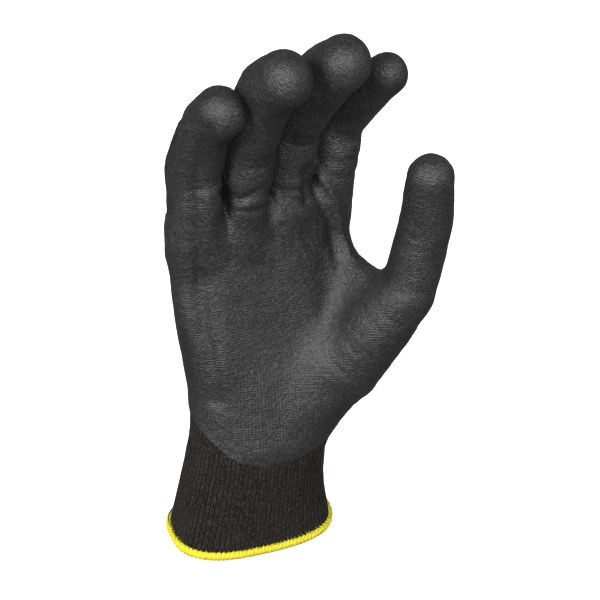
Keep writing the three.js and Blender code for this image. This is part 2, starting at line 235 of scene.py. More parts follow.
class Digit:
    """A digit's middle line, its radii and its bending plane."""

    def __init__(self, name):
        self.name = name
        self.hinges = [joint_place(j) for j in joint_names(name)]
        sign = -1 if name == "thumb" else 1
        self.axis = sign * joint_axis(joint_names(name)[0])
        apex = tip_apex(name)
        last = self.hinges[-1]
        bone = (apex - last) / np.linalg.norm(apex - last)
        end = apex + bone * (TIP_REACH[name] - RADII[name][-1])
        if name == "thumb":
            roots = [hand_point(*place) for place in THUMB_BALL]
        else:
            base = self.hinges[1] - self.hinges[0]
            roots = [self.hinges[0] - base / np.linalg.norm(base) * FINGER_ROOT]
        self.first = len(roots)
        bones = [*self.hinges, end]
        self.controls = [*roots, *(spot + lean * ACROSS for spot, lean in zip(bones, LEAN[name]))]
        self.path, spans = catmull_rom(self.controls, SPAN_STEPS)
        self.radii = np.interp(spans, np.arange(len(self.controls)), RADII[name])
        self.squash = 1.0 if name == "thumb" else FINGER_SQUASH
        steps = np.linalg.norm(np.diff(self.path, axis=0), axis=1)
        lengths = np.concatenate([[0], np.cumsum(steps)])
        places = [lengths[(self.first + i) * SPAN_STEPS] for i in range(len(self.hinges))]
        self.lengths = lengths - places[0]
        self.hinge_places = [place - places[0] for place in places]

    def widen(self, points):
        offset = (points - self.hinges[0]) @ self.axis
        return points + (offset * (1 / self.squash - 1))[:, None] * self.axis

    def distance(self, points):
        points = self.widen(points)
        best = None
        for i in range(len(self.path) - 1):
            ends = (self.path[i], self.path[i + 1], self.radii[i], self.radii[i + 1])
            one = segment_distance(points, *ends)
            best = one if best is None else np.minimum(best, one)
        return best

    def window(self, margin):
        reach = self.radii.max() + margin
        return self.path.min(0) - reach, self.path.max(0) + reach

    def bone(self, section):
        """The digit's direction at one joint."""
        along = self.controls[self.first + section + 1] - self.controls[self.first + section - 1]
        return along / np.linalg.norm(along)

    def height(self, points, section=0):
        """How far points lie beyond the plane across one joint."""
        return (points - self.hinges[section]) @ self.bone(section)

    def beyond_middle(self, points, section):
        """True past the middle of the bone that ends at this section's joint."""
        start, end = self.hinges[section - 1], self.hinges[section]
        return (points - (start + end) / 2) @ (end - start) > 0

    def locate(self, points):
        """Place along the digit from its base fold, and the angle round it from the pad."""
        best = np.full(len(points), np.inf)
        place = np.zeros(len(points))
        centre = np.zeros((len(points), 3))
        tangent = np.zeros((len(points), 3))
        for i in range(len(self.path) - 1):
            start, along = self.path[i], self.path[i + 1] - self.path[i]
            share = (points - start) @ along / (along @ along)
            share = np.clip(share, 0, None if i == len(self.path) - 2 else 1)
            nearest = start + share[:, None] * along
            gap = np.linalg.norm(points - nearest, axis=1)
            closer = gap < best
            best[closer] = gap[closer]
            place[closer] = self.lengths[i] + share[closer] * np.linalg.norm(along)
            centre[closer] = nearest[closer]
            tangent[closer] = along / np.linalg.norm(along)
        pad = np.cross(self.axis, tangent)
        pad /= np.linalg.norm(pad, axis=1)[:, None]
        offset = points - centre
        return place, np.arctan2(offset @ self.axis, (offset * pad).sum(1))


digits = {name: Digit(name) for name in DIGITS}

# ---- Palm and wrist ----

# For each level above the wrist: edges on the little finger's and the thumb's side, depth of the
# front and the back, and the exponent of the rounded section.
PALM_LEVELS = (
    (-14, -32.0, 32.0, 21.5, 21.5, 2.0),
    (2, -31.8, 36.0, 21.3, 21.0, 2.0),
    (22, -31.8, 40.0, 20.2, 18.5, 2.2),
    (48, -36.4, 40.5, 17.0, 16.0, 2.5),
    (78, -40.2, 41.6, 14.3, 14.5, 2.6),
    (100, -40.8, 43.4, 13.0, 13.0, 2.5),
    (110, -41.3, 44.5, 12.0, 12.0, 2.4),
    (122, -41.0, 45.5, 11.5, 11.5, 2.4),
)
PALM_TOP = 108.5
PALM_TOP_ROUND = 9

# How much the front comes forward and the levels rise towards the thumb, both growing up the palm.
PALM_ARCH = 0.1
PALM_RISE = 0.09
KNUCKLE_LEVEL = 100
PALM_GROWTH = 1.2
LEVEL_SMOOTHING = 7
LEAST_SLOPE = 0.6

# For each level: edges on the little finger's and the thumb's side, its middle's place towards the
# back, half the depth, and the exponent of the rounded section.
CUFF_LEVELS = (
    (-4, -38.2, 37.5, -1.9, 21.2, 2.9),
    (2.6, -37.3, 36.6, -1.8, 21.2, 2.8),
    (12, -36.1, 34.6, -1.0, 21.5, 2.5),
    (30, -34.0, 31.4, 0.0, 22.0, 2.2),
    (48, -32.8, 31.3, 0.0, 21.5, 2.1),
    (80, -32.8, 31.4, 0.0, 21.0, 2.1),
)
CUFF_OVAL = (32.0, 21.8)
WRIST_MERGE = (42.0, 64.0)
THUMB_BLEND = 12

# Soft mounds and hollows of the palm's front: across, up, their two reaches, and the height.
PALM_RELIEF = (
    (2, 58, 15, 30, -1.7),
    (-26, 40, 9, 26, 1.6),
    (-22, 96, 11, 9, 1.0),
    (8, 99, 20, 9, 1.2),
)


def smooth_table(levels, column):
    """One column of a level table as fine, smoothed samples."""
    places = np.array([level[0] for level in levels], float)
    fine = np.arange(places[0] - 30, places[-1] + 30, 1.0)
    values = np.interp(fine, places, [level[column] for level in levels])
    reach = np.arange(-3 * LEVEL_SMOOTHING, 3 * LEVEL_SMOOTHING + 1)
    kernel = np.exp(-0.5 * (reach / LEVEL_SMOOTHING) ** 2)
    padded = np.pad(values, len(reach) // 2, mode="edge")
    return fine, np.convolve(padded, kernel / kernel.sum(), mode="valid")


PALM_TABLES = [smooth_table(PALM_LEVELS, column) for column in range(1, 6)]
CUFF_TABLES = [smooth_table(CUFF_LEVELS, column) for column in range(1, 6)]


def rounded_section(a, b, half_a, half_b, power):
    """Distance to a rounded oval section: its level set divided by the slope there."""
    u, v = np.abs(a) / half_a, np.abs(b) / half_b
    level = (u**power + v**power + 1e-6) ** (1 / power)
    slope = np.sqrt((u ** (power - 1) / half_a) ** 2 + (v ** (power - 1) / half_b) ** 2)
    slope = np.maximum(slope * level ** (1 - power), LEAST_SLOPE / np.maximum(half_a, half_b))
    return (level - 1) / slope


def palm_section(points):
    """Place in the palm's section: across, front and up, with the arch and the rise taken out."""
    across, front, up = to_hand(points)
    share = np.clip(up / KNUCKLE_LEVEL, 0, PALM_GROWTH)
    return across, front + across * PALM_ARCH * share, up - across * PALM_RISE * share


def palm_relief(across, up):
    height = 0
    for centre, level, reach, tall, amount in PALM_RELIEF:
        height = height + amount * bell(across - centre, reach) * bell(up - level, tall)
    return height


def palm_distance(points):
    across, front, up = palm_section(points)
    low, high, front_depth, back_depth, power = (np.interp(up, *table) for table in PALM_TABLES)
    depth = np.where(front > 0, front_depth + palm_relief(across, up), back_depth)
    body = rounded_section(across - (low + high) / 2, front, (high - low) / 2, depth, power)
    return smooth_max(body, up - PALM_TOP, PALM_TOP_ROUND)


def cuff_distance(points):
    low, high, middle, depth, power = (np.interp(points[:, 2], *table) for table in CUFF_TABLES)
    across = points[:, 0] - (low + high) / 2
    return rounded_section(across, points[:, 1] - middle, (high - low) / 2, depth, power)


def body_distance(points):
    """The palm above the wrist, the cuff below it, and an even change between them."""
    share = ramp(points[:, 2], *WRIST_MERGE)
    return (1 - share) * cuff_distance(points) + share * palm_distance(points)


def wrist_distance(points):
    """The body with the foot of the thumb's ball."""
    return smooth_min(body_distance(points), digits["thumb"].distance(points), THUMB_BLEND)


WEB_FOOT = hand_point(32, 4, 32)
WEB_THUMB = hand_point(49.5, 26, 64)
WEB_INDEX = hand_point(33.5, -1, 78)
WEB_RADIUS = 6.4
WEB_BLEND = 10


def web_distance(points):
    return triangle_distance(points, WEB_FOOT, WEB_THUMB, WEB_INDEX, WEB_RADIUS)


# ---- The distance grid ----

# The distance given to places that nothing is near.
FAR = 50.0


class Field:
    """Distances to the glove's outside on a regular grid."""

    def __init__(self, low, high):
        self.low = np.array(low, float)
        self.shape = np.ceil((np.array(high) - self.low) / STEP).astype(int) + 1
        self.values = np.full(self.shape, FAR, np.float32)

    def sample(self, distance, low, high):
        """A distance function's values inside a box, with their place in the grid."""
        first = np.clip(np.floor((low - self.low) / STEP).astype(int), 0, self.shape)
        last = np.clip(np.ceil((high - self.low) / STEP).astype(int) + 1, 0, self.shape)
        axes = [self.low[k] + STEP * np.arange(first[k], last[k]) for k in range(3)]
        grid = np.stack(np.meshgrid(*axes, indexing="ij"), axis=-1)
        values = distance(grid.reshape(-1, 3)).reshape(grid.shape[:3])
        return tuple(slice(*ends) for ends in zip(first, last)), values.astype(np.float32)

    def add(self, distance, window, blend):
        place, values = self.sample(distance, *window)
        self.values[place] = smooth_min(self.values[place], values, blend)


GRID_LOW = (-62, -62, 45)
GRID_HIGH = (84, 62, 250)
PALM_WINDOW = (np.array([-56.0, -40, 45]), np.array([62.0, 50, 176]))
WEB_WINDOW = (np.array([0.0, -50, 60]), np.array([75.0, 45, 150]))
FINGER_MARGIN = 6
STALL_EDGE = 1.5
BODY_BLEND = 1
FINGER_BLEND = 5


def finger_grid(field):
    """The fingers' distances on the whole grid, each kept apart from its neighbours."""
    raw = {}
    for name in FINGERS:
        place, values = field.sample(digits[name].distance, *digits[name].window(FINGER_MARGIN))
        raw[name] = np.full(field.shape, FAR, np.float32)
        raw[name][place] = values
    together = np.full(field.shape, FAR, np.float32)
    for i, name in enumerate(FINGERS):
        kept = raw[name]
        for j in (i - 1, i + 1):
            if 0 <= j < len(FINGERS):
                middle = (raw[name] - raw[FINGERS[j]]) / 2 + STALL_GAP / 2
                kept = smooth_max(kept, middle, STALL_EDGE)
        together = np.minimum(together, kept)
    return together


def build_field():
    field = Field(GRID_LOW, GRID_HIGH)
    field.add(body_distance, PALM_WINDOW, BODY_BLEND)
    field.add(digits["thumb"].distance, digits["thumb"].window(THUMB_BLEND), THUMB_BLEND)
    field.add(web_distance, WEB_WINDOW, WEB_BLEND)
    field.values = smooth_min(field.values, finger_grid(field), FINGER_BLEND)
    return field


def mesh_field(field):
    limit = 3 * STEP
    grid = openvdb.FloatGrid(limit)
    grid.copyFromArray(np.clip(field.values, -limit, limit))
    points, quads = grid.convertToQuads(0.0)
    return points.astype(float) * STEP + field.low, quads.astype(int)


# ---- Work on the whole skin ----


def vertex_normals(points, quads):
    across = points[quads[:, 2]] - points[quads[:, 0]]
    back = points[quads[:, 3]] - points[quads[:, 1]]
    faces = np.cross(across, back)
    normals = np.zeros_like(points)
    for k in range(3):
        normals[:, k] = sum(np.bincount(quads[:, c], faces[:, k], len(points)) for c in range(4))
    return normals / (np.linalg.norm(normals, axis=1)[:, None] + 1e-12)


def neighbour_mean(points, quads):
    total = np.zeros_like(points)
    count = np.zeros(len(points))
    for a, b in ((0, 1), (1, 2), (2, 3), (3, 0)):
        for first, second in ((a, b), (b, a)):
            count += np.bincount(quads[:, first], minlength=len(points))
            for k in range(3):
                total[:, k] += np.bincount(quads[:, first], points[quads[:, second], k], len(points))
    return total / np.maximum(count, 1)[:, None]


# Each round of smoothing draws the points in and lets them out again, so the skin doesn't shrink.
RELAX_ROUNDS = 3
RELAX_AMOUNTS = (0.5, -0.52)


def relax(points, quads):
    for _ in range(RELAX_ROUNDS):
        for amount in RELAX_AMOUNTS:
            points = points + amount * (neighbour_mean(points, quads) - points)
    return points


def point_noise(points, size):
    return np.array([noise.noise(Vector(p)) for p in (points / size).tolist()])


def layered_noise(points, layers):
    """The sum of several sizes of noise, the same wherever two pieces meet."""
    return sum(amount * point_noise(points, size) for size, amount in layers)


# ---- Wrinkles ----

# Soft unevenness of the cloth: sizes and heights.
CLOTH_LAYERS = ((26.0, 0.5), (9.0, 0.24), (3.6, 0.1), (1.9, 0.07))

# Creases across a digit's pad: their place from a joint, reach and depth.
JOINT_CREASES = ((-2.4, 2.4, 0.4), (2.8, 2.6, 0.35))
BASE_CREASES = {
    "little": (),
    "ring": ((-4.4, 1.8, 0.6), (-1.2, 1.9, -0.3), (2.2, 1.8, 0.3)),
    "middle": ((-4.0, 1.9, 0.5), (-0.6, 1.9, -0.2)),
    "index": ((-3.0, 1.8, 0.6), (3.4, 1.8, 0.35)),
    "thumb": ((-3.0, 2.0, 0.3),),
}

# How fast the creases die out round the digit, and the swell of the first pad and of each knuckle.
JOINT_CREASE_FADE = 1.5
BASE_CREASE_FADE = 1.2
PAD_SWELL, PAD_REACH = 0.5, 5.5
KNUCKLE_SWELL, KNUCKLE_REACH = 0.35, 5
RELIEF_START = 5

# Folds that the cloth's tension draws over the palm: their line across and up, reach and height.
PALM_FOLDS = (
    (((-38, 150), (-37, 138), (-35, 122), (-32.5, 92), (-30, 60), (-24.5, 24)), 3.0, -1.6),
    (((-39, 148), (-39, 118), (-38.5, 88), (-36.5, 58)), 3.2, 0.8),
    (((20, 124), (28.5, 111), (34, 99), (37.5, 82)), 1.9, 1.5),
    (((15.5, 120), (23.5, 107), (29.5, 95), (32.5, 76)), 2.5, -1.0),
    (((-24, 118.5), (-16.5, 113), (-9.5, 117.5)), 1.8, -0.8),
    (((-21.8, 117), (-20.8, 107)), 2.6, -0.8),
    (((-0.5, 115), (0.5, 102)), 2.0, -1.4),
    (((16, 122), (17.5, 107)), 2.1, -1.6),
    (((3, 112), (6, 101)), 1.7, 0.6),
    (((33, 96), (27, 63), (21, 26)), 5.0, -0.4),
    (((4, 95), (9, 93)), 1.5, 0.3),
    (((15, 92), (19, 87)), 1.6, -0.35),
    (((17, 83), (22, 79)), 1.6, 0.3),
    (((-8, 90), (-2, 84)), 2.2, 0.25),
)


def digit_relief(digit, points, place, angle):
    """Height of the pads and creases on one digit."""
    pad = np.clip(np.cos(angle), 0, 1)
    back = np.clip(-np.cos(angle), 0, 1)
    height = np.zeros(len(points))
    for shift, reach, depth in JOINT_CREASES:
        crease = bell(place - digit.hinge_places[1] - shift, reach)
        height -= depth * crease * pad**JOINT_CREASE_FADE
    for hinge in digit.hinge_places[1:]:
        height += KNUCKLE_SWELL * bell(place - hinge, KNUCKLE_REACH) * back
    for shift, reach, depth in BASE_CREASES[digit.name]:
        height -= depth * bell(place - shift, reach) * pad**BASE_CREASE_FADE
    height += PAD_SWELL * bell(place - digit.hinge_places[1] / 2, PAD_REACH) * pad
    return height * ramp(digit.height(points), BASE_SPLIT, BASE_SPLIT + RELIEF_START)


# The folds fade out between these two places, from the palm's front to its back.
FOLD_FRONT = (-2, 5)


def fold_relief(points):
    """Folds on the palm's front and the fingers' roots."""
    across, front, up = to_hand(points)
    spots = np.stack([across, up], axis=1)
    height = np.zeros(len(points))
    for line, reach, amount in PALM_FOLDS:
        gap = np.full(len(points), np.inf)
        for start, end in zip(np.array(line, float), np.array(line[1:], float)):
            gap = np.minimum(gap, segment_distance(spots, start, end, 0, 0))
        height += amount * bell(gap, reach)
    return height * ramp(front, *FOLD_FRONT)


# ---- Where the dipped coating ends ----

# The coating value of a point is how far it lies inside the coating's edge. On the palm that edge
# lies behind the middle, and further to the front between the fingers' roots.
COAT_BACK = 4.5
CROTCH_BARE = 7.5
CROTCH_LEVELS = (92, 104)
CROTCH_SIDES = (32, 40)

# The lower edge is level in the middle of the wrist's front, and higher at both sides.
COAT_LOW = 51.0
COAT_LITTLE_SIDE = 66.0
COAT_THUMB_SIDE = 59.0
COAT_CENTRE = 1.0
COAT_FLAT = 7
COAT_REACH = 26
COAT_BEYOND = 1.2
COAT_CURVE = 2.2
COAT_ROUND = 6

# Half of the turn that it covers on a digit, how much less at a finger's root, and how far beyond the
# last joint it starts to cover the whole turn.
COAT_ARC = math.radians(104)
ROOT_ARC = math.radians(30)
ROOT_SPAN = (-2, 12)
COAT_TIP = 1.5
DIGIT_RADIUS = 44 * WALE / (2 * math.pi)

# The thumb's coated side is turned towards the fingers. Its bare back runs on over a strip of its ball.
THUMB_ARC = math.radians(128)
THUMB_TURN = math.radians(50)
THUMB_STRIP = (-62, -32)
THUMB_EDGE_SPAN = 13
BALL_REACH = 14.0
BALL_FOOT = -31
BALL_SIDE = 20


def coat_edge(across):
    edge = COAT_LOW
    for direction, level in ((-1, COAT_LITTLE_SIDE), (1, COAT_THUMB_SIDE)):
        beyond = (across - COAT_CENTRE) * direction - COAT_FLAT
        edge = edge + np.clip(beyond / COAT_REACH, 0, COAT_BEYOND) ** COAT_CURVE * (level - COAT_LOW)
    return edge


def palm_coat(points):
    across, front, up = palm_section(points)
    between_fingers = ramp(up, *CROTCH_LEVELS) * (1 - ramp(np.abs(across), *CROTCH_SIDES))
    back = front + COAT_BACK - CROTCH_BARE * between_fingers
    return smooth_min(back, points[:, 2] - coat_edge(points[:, 0]), COAT_ROUND)


def digit_coat(digit, place, angle):
    centre, arc = THUMB_TURN, THUMB_ARC
    if digit.name != "thumb":
        centre, arc = 0, COAT_ARC - ROOT_ARC * (1 - ramp(place, *ROOT_SPAN))
    turned = np.abs((angle - centre + math.pi) % (2 * math.pi) - math.pi)
    tip = place - digit.hinge_places[-1] - COAT_TIP
    return smooth_max((arc - turned) * DIGIT_RADIUS, tip, COAT_ROUND)


# ---- Place of each point in the knit: along a row, and up the columns ----

# Round the palm go a front and a back flat, two round sides, and a whole number of columns.
PALM_HALF = 28.0
PALM_WALES = 129
PALM_SIDE = (PALM_WALES * WALE - 4 * PALM_HALF) / (2 * math.pi)


def palm_weave(points):
    across, front, up = palm_section(points)
    side = np.maximum(np.abs(across) - PALM_HALF, 0)
    turn = np.arctan2(side, -front)
    flat_front = 2 * PALM_HALF + math.pi * PALM_SIDE - np.abs(across)
    flat = np.where(front < 0, np.abs(across), flat_front)
    return np.where(side > 0, PALM_HALF + PALM_SIDE * turn, flat), up + WRIST[2]


def thumb_axes():
    """The middle of the thumb's coated side, the direction across it and the one along it."""
    thumb = digits["thumb"]
    bone = thumb.bone(0)
    middle = np.cross(thumb.axis, bone) * math.cos(THUMB_TURN) + thumb.axis * math.sin(THUMB_TURN)
    return middle, np.cross(bone, middle), bone


def thumb_weave(points):
    _, side, bone = thumb_axes()
    return points @ side, points @ bone


def digit_weave(digit, place, angle):
    across, _, up = to_hand(digit.hinges[0][None])
    turned = np.where(angle > 0, math.pi - angle, -math.pi - angle)
    return np.abs(across[0] + DIGIT_RADIUS * turned), up[0] + WRIST[2] + place


# ---- The skin and what each point of it knows ----


def find_owners(points):
    """For each point the number of its digit and section, or -1 and 0 on the palm."""
    owner = np.full((len(points), 2), -1)
    owner[:, 1] = 0
    best = np.full(len(points), np.inf)
    for number, name in enumerate(DIGITS):
        digit = digits[name]
        low, high = digit.window(CLAIM[name])
        near = np.where(np.all((points > low) & (points < high), axis=1))[0]
        near = near[digit.height(points[near]) > BASE_SPLIT]
        gap = digit.distance(points[near])
        closer = (gap < best[near]) & (np.abs(gap) < CLAIM[name])
        chosen = near[closer]
        best[chosen] = gap[closer]
        owner[chosen] = (number, 0)
        for section in range(1, len(digit.hinges)):
            owner[chosen[digit.beyond_middle(points[chosen], section)], 1] = section
    return owner


def thumb_ball_coat(points, normals, coat):
    """Round the thumb's ball the bare back of the thumb runs on into the bare back of the hand."""
    facing = (normals @ thumb_axes()[0] - math.cos(THUMB_ARC)) * THUMB_EDGE_SPAN
    share = ramp(digits["thumb"].height(points), *THUMB_STRIP) * ramp(points[:, 0], 0, BALL_SIDE)
    return coat + share * (facing - coat)


def on_thumb(points):
    """True on the thumb and its ball, whose knit runs along the thumb."""
    thumb = digits["thumb"]
    return (thumb.distance(points) < BALL_REACH) & (thumb.height(points) > BALL_FOOT)


# Where the coating's edge is this far away, the knit under it can't be seen.
COAT_COVERED = 2.0

# Over this height above its foot, the palm's knit and coating turn into a digit's own.
DIGIT_START = 9

# The unevenness of the coating's edge: sizes and amounts.
EDGE_LAYERS = ((6, 1.0), (2.2, 0.4))


class Skin:
    """The glove's outer surface, with its wrinkles, its coating's edge and its knit."""

    def __init__(self, points, quads):
        self.quads = quads
        owner = find_owners(points)
        height = layered_noise(points, CLOTH_LAYERS) + fold_relief(points)
        self.coat = thumb_ball_coat(points, vertex_normals(points, quads), palm_coat(points))
        across, up = palm_weave(points)
        for number, name in enumerate(DIGITS):
            mine = np.where(owner[:, 0] == number)[0]
            digit = digits[name]
            place, angle = digit.locate(points[mine])
            height[mine] += digit_relief(digit, points[mine], place, angle)
            share = ramp(digit.height(points[mine]), BASE_SPLIT, BASE_SPLIT + DIGIT_START)
            self.coat[mine] += share * (digit_coat(digit, place, angle) - self.coat[mine])
            own_across, own_up = digit_weave(digit, place, angle)
            across[mine] += share * (own_across - across[mine])
            up[mine] += share * (own_up - up[mine])
        near = on_thumb(points) & (self.coat < COAT_COVERED)
        across[near], up[near] = thumb_weave(points[near])
        self.coat += layered_noise(points, EDGE_LAYERS)
        self.points = points + vertex_normals(points, quads) * height[:, None]
        self.normals = vertex_normals(self.points, quads)
        self.attributes = {"rest": self.points, "weave": np.stack([across, up, self.coat], axis=1)}
        self.face_owner = find_owners(points[quads].mean(axis=1))

    def sheet(self, depth):
        """The points of the surface that lies this deep under the outside."""
        return self.points - self.normals * np.reshape(depth, (-1, 1))


# ---- Meshes ----


def boundary_edges(quads):
    """Edges that only one face has, as their two ends."""
    count = quads.max() + 1
    first = quads.ravel()
    second = np.roll(quads, -1, axis=1).ravel()
    alone = ~np.isin(first * count + second, second * count + first)
    return first[alone], second[alone]


def add_mesh(name, points, quads, attributes, normals=None):
    mesh = bpy.data.meshes.new(name)
    mesh.vertices.add(len(points))
    mesh.vertices.foreach_set("co", (points * MM).astype(np.float32).ravel())
    mesh.loops.add(quads.size)
    mesh.loops.foreach_set("vertex_index", quads.astype(np.int32).ravel())
    mesh.polygons.add(len(quads))
    mesh.polygons.foreach_set("loop_start", np.arange(0, quads.size, 4, dtype=np.int32))
    mesh.update(calc_edges=True)
    mesh.shade_smooth()
    for key, values in attributes.items():
        attribute = mesh.attributes.new(key, "FLOAT_VECTOR", "POINT")
        attribute.data.foreach_set("vector", values.astype(np.float32).ravel())
    if normals is not None:
        mesh.normals_split_custom_set_from_vertices(normals.tolist())
    piece = bpy.data.objects.new(name, mesh)
    bpy.context.scene.collection.objects.link(piece)
    return piece


def add_shell(name, skin, mask, outer, inner):
    """A closed shell between two sheets of the skin, over the chosen faces."""
    used, flat = np.unique(skin.quads[mask], return_inverse=True)
    faces = flat.reshape(-1, 4)
    count = len(used)
    first, second = boundary_edges(faces)
    rim = np.stack([second, first, first + count, second + count], axis=1)
    quads = np.concatenate([faces, faces[:, ::-1] + count, rim])
    points = np.concatenate([outer[used], inner[used]])
    attributes = {key: np.concatenate([values[used]] * 2) for key, values in skin.attributes.items()}
    normals = np.concatenate([skin.normals[used], -skin.normals[used]])
    return add_mesh(name, points, quads, attributes, normals)


def finish_piece(piece, material, slot, *nodes):
    piece.data.materials.append(material)
    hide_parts(*nodes)


def blend_wrist(piece):
    low, high = WRIST_BEND
    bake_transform(piece, "cuff", "palm", start=(0, 0, low * MM), end=(0, 0, high * MM))


def blend_digit(piece, digit, section):
    """Bend a digit's piece across the joint at its root."""
    names = ["palm", *(f"{digit}_{part}" for part in SECTIONS[digit])]
    line = digits[digit]
    reach = line.bone(section) * BEND_REACH
    start, end = line.hinges[section] - reach, line.hinges[section] + reach
    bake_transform(piece, names[section], names[section + 1], start=tuple(start * MM), end=tuple(end * MM))


# ---- The knitted liner and the dipped coating ----

WRIST_BEND = (38.0, 66.0)
KNIT_BOTTOM = 64.0

# The coating's foot lies outside its edge, sunk into the knit, and it rises over a short way.
COAT_FOOT = -1.0
COAT_RAMP = 2.0
COAT_SINK = 0.75
COAT_UNDER = 0.5
COAT_LIP = 0.1


def add_layer(skin, layer, mask, outer, inner, material):
    """One layer's pieces: the palm's and each section of each digit."""
    palm = mask & (skin.face_owner[:, 0] == -1)
    piece = add_shell(f"palm_{layer}_skin", skin, palm, outer, inner)
    blend_wrist(piece)
    finish_piece(piece, material, layer, f"palm_{layer}")
    for number, digit in enumerate(DIGITS):
        for section, part in enumerate(SECTIONS[digit]):
            mine = mask & np.all(skin.face_owner == (number, section), axis=1)
            piece = add_shell(f"{digit}_{layer}_{part}_skin", skin, mine, outer, inner)
            blend_digit(piece, digit, section)
            finish_piece(piece, material, layer, f"{digit}_{layer}_{part}")


def add_knit(skin, material):
    above = skin.points[skin.quads][:, :, 2].min(axis=1) > KNIT_BOTTOM
    add_layer(skin, "knit", above, skin.sheet(KNIT_DEPTH), skin.sheet(KNIT_DEPTH + KNIT_WALL), material)


def add_coating(skin, material):
    """The coating rises out of the knit at its edge, so it ends in a thin lip."""
    sink = COAT_SINK * (1 - ramp(skin.coat, COAT_FOOT, COAT_FOOT + COAT_RAMP))
    covered = skin.coat[skin.quads].max(axis=1) > COAT_FOOT
    under = np.maximum(sink + COAT_LIP, COAT_UNDER)
    add_layer(skin, "coating", covered, skin.sheet(sink), skin.sheet(under), material)


# ---- Ribbed cuff ----

# The coating value of skin far from any coating.
UNCOATED = -9.0

RIB_COUNT = 86
RIB_SAMPLES = 8
RIB_DEPTH = 0.34
RIB_SHAPE = 1.5
RIB_FADE = (46.0, 60.0)
CUFF_BOTTOM = 2.4
CUFF_TOP = 65.5
CUFF_ROW = 0.9

# The cuff's top tucks this far under the palm's knit. The thumb's ball reaches down to THUMB_LEVEL.
CUFF_TUCK = 0.1
THUMB_LEVEL = 40.0

# The hem rises towards the thumb's side, over these places across and up to this level.
HEM_LIFT = 2.3
HEM_ACROSS = (-30, 34)
HEM_LEVELS = (0, 34)

# The search for the outside starts at this radius. The cloth is even at the hem and uneven above.
START_RADIUS = 30.0
SEARCH_ROUNDS = 9
EVEN_LEVELS = (9, 34)


def even_directions(count):
    """Directions from the cuff's axis that part its oval evenly."""
    turns = np.linspace(0, 2 * math.pi, 2001)
    oval = np.stack([CUFF_OVAL[0] * np.cos(turns), CUFF_OVAL[1] * np.sin(turns)], axis=1)
    steps = np.linalg.norm(np.diff(oval, axis=0), axis=1)
    lengths = np.concatenate([[0], np.cumsum(steps)])
    wanted = np.arange(count) / count * lengths[-1]
    spots = np.stack([np.interp(wanted, lengths, oval[:, k]) for k in (0, 1)], axis=1)
    return spots / np.linalg.norm(spots, axis=1)[:, None]


def cuff_points(levels, directions):
    """The glove's outside at each level, in each direction from the axis."""
    rows = np.repeat(levels, len(directions))
    rays = np.tile(directions, (len(levels), 1))
    radius = np.full(len(rows), START_RADIUS)
    for _ in range(SEARCH_ROUNDS):
        points = np.column_stack([rays * radius[:, None], rows])
        gap = body_distance(points)
        high = rows > THUMB_LEVEL
        if high.any():
            gap[high] = wrist_distance(points[high])
        radius -= gap
    points = np.column_stack([rays * radius[:, None], rows])
    height = layered_noise(points, CLOTH_LAYERS) * ramp(rows, *EVEN_LEVELS)
    points[:, :2] += rays * height[:, None]
    points[:, 2] += HEM_LIFT * ramp(points[:, 0], *HEM_ACROSS) * (1 - ramp(rows, *HEM_LEVELS))
    return points.reshape(len(levels), len(directions), 3)


def ring_quads(rows, columns):
    """Faces of a grid that closes on itself along its columns, with the outside to the right."""
    low = np.arange(rows - 1)[:, None] * columns
    high = low + columns
    here = np.arange(columns)
    after = (here + 1) % columns
    return np.stack([low + here, low + after, high + after, high + here], axis=-1).reshape(-1, 4)


def closing_quads(rows, columns):
    """Faces that join such a grid's last row to its first."""
    last = (rows - 1) * columns
    here = np.arange(columns)
    after = (here + 1) % columns
    return np.stack([last + here, last + after, after, here], axis=-1)


def outward(points):
    """Level normals of rings of points."""
    along = np.roll(points, -1, axis=1) - np.roll(points, 1, axis=1)
    normal = np.stack([along[..., 1], -along[..., 0], np.zeros(along.shape[:2])], axis=-1)
    return normal / np.linalg.norm(normal, axis=-1)[..., None]


def rib_depth(levels, turns):
    """How deep the knit's outside lies at each level and column: ribs that fade out towards the palm."""
    fade = 1 - ramp(levels, *RIB_FADE)
    valley = (0.5 - 0.5 * np.cos(2 * math.pi * turns)) ** RIB_SHAPE
    tuck = CUFF_TUCK * ramp(levels, RIB_FADE[0], KNIT_BOTTOM)
    return KNIT_DEPTH + tuck[:, None] + RIB_DEPTH * fade[:, None] * valley


def add_rib_cuff(material):
    columns = RIB_COUNT * RIB_SAMPLES
    levels = np.arange(CUFF_BOTTOM, CUFF_TOP + 0.1, CUFF_ROW * (1))
    skin = cuff_points(levels, even_directions(columns))
    normal = outward(skin)
    turns = np.arange(columns) / RIB_SAMPLES
    outer = skin - normal * rib_depth(levels, turns)[..., None]
    inner = skin - normal * (KNIT_DEPTH + CUFF_WALL)
    rows = 2 * len(levels)
    points = np.concatenate([outer, inner[::-1]]).reshape(-1, 3)
    quads = np.concatenate([ring_quads(rows, columns), closing_quads(rows, columns)])
    column = np.tile(turns * WALE, rows)
    height = np.repeat(np.concatenate([levels, levels[::-1]]), columns)
    weave = np.column_stack([column, height, np.full(len(height), UNCOATED)])
    piece = add_mesh("cuff_rib_knit_skin", points, quads, {"rest": points, "weave": weave})
    blend_wrist(piece)
    finish_piece(piece, material, "knit", "cuff_rib_knit")


# ---- Threads ----

THREAD_SIDES = 6


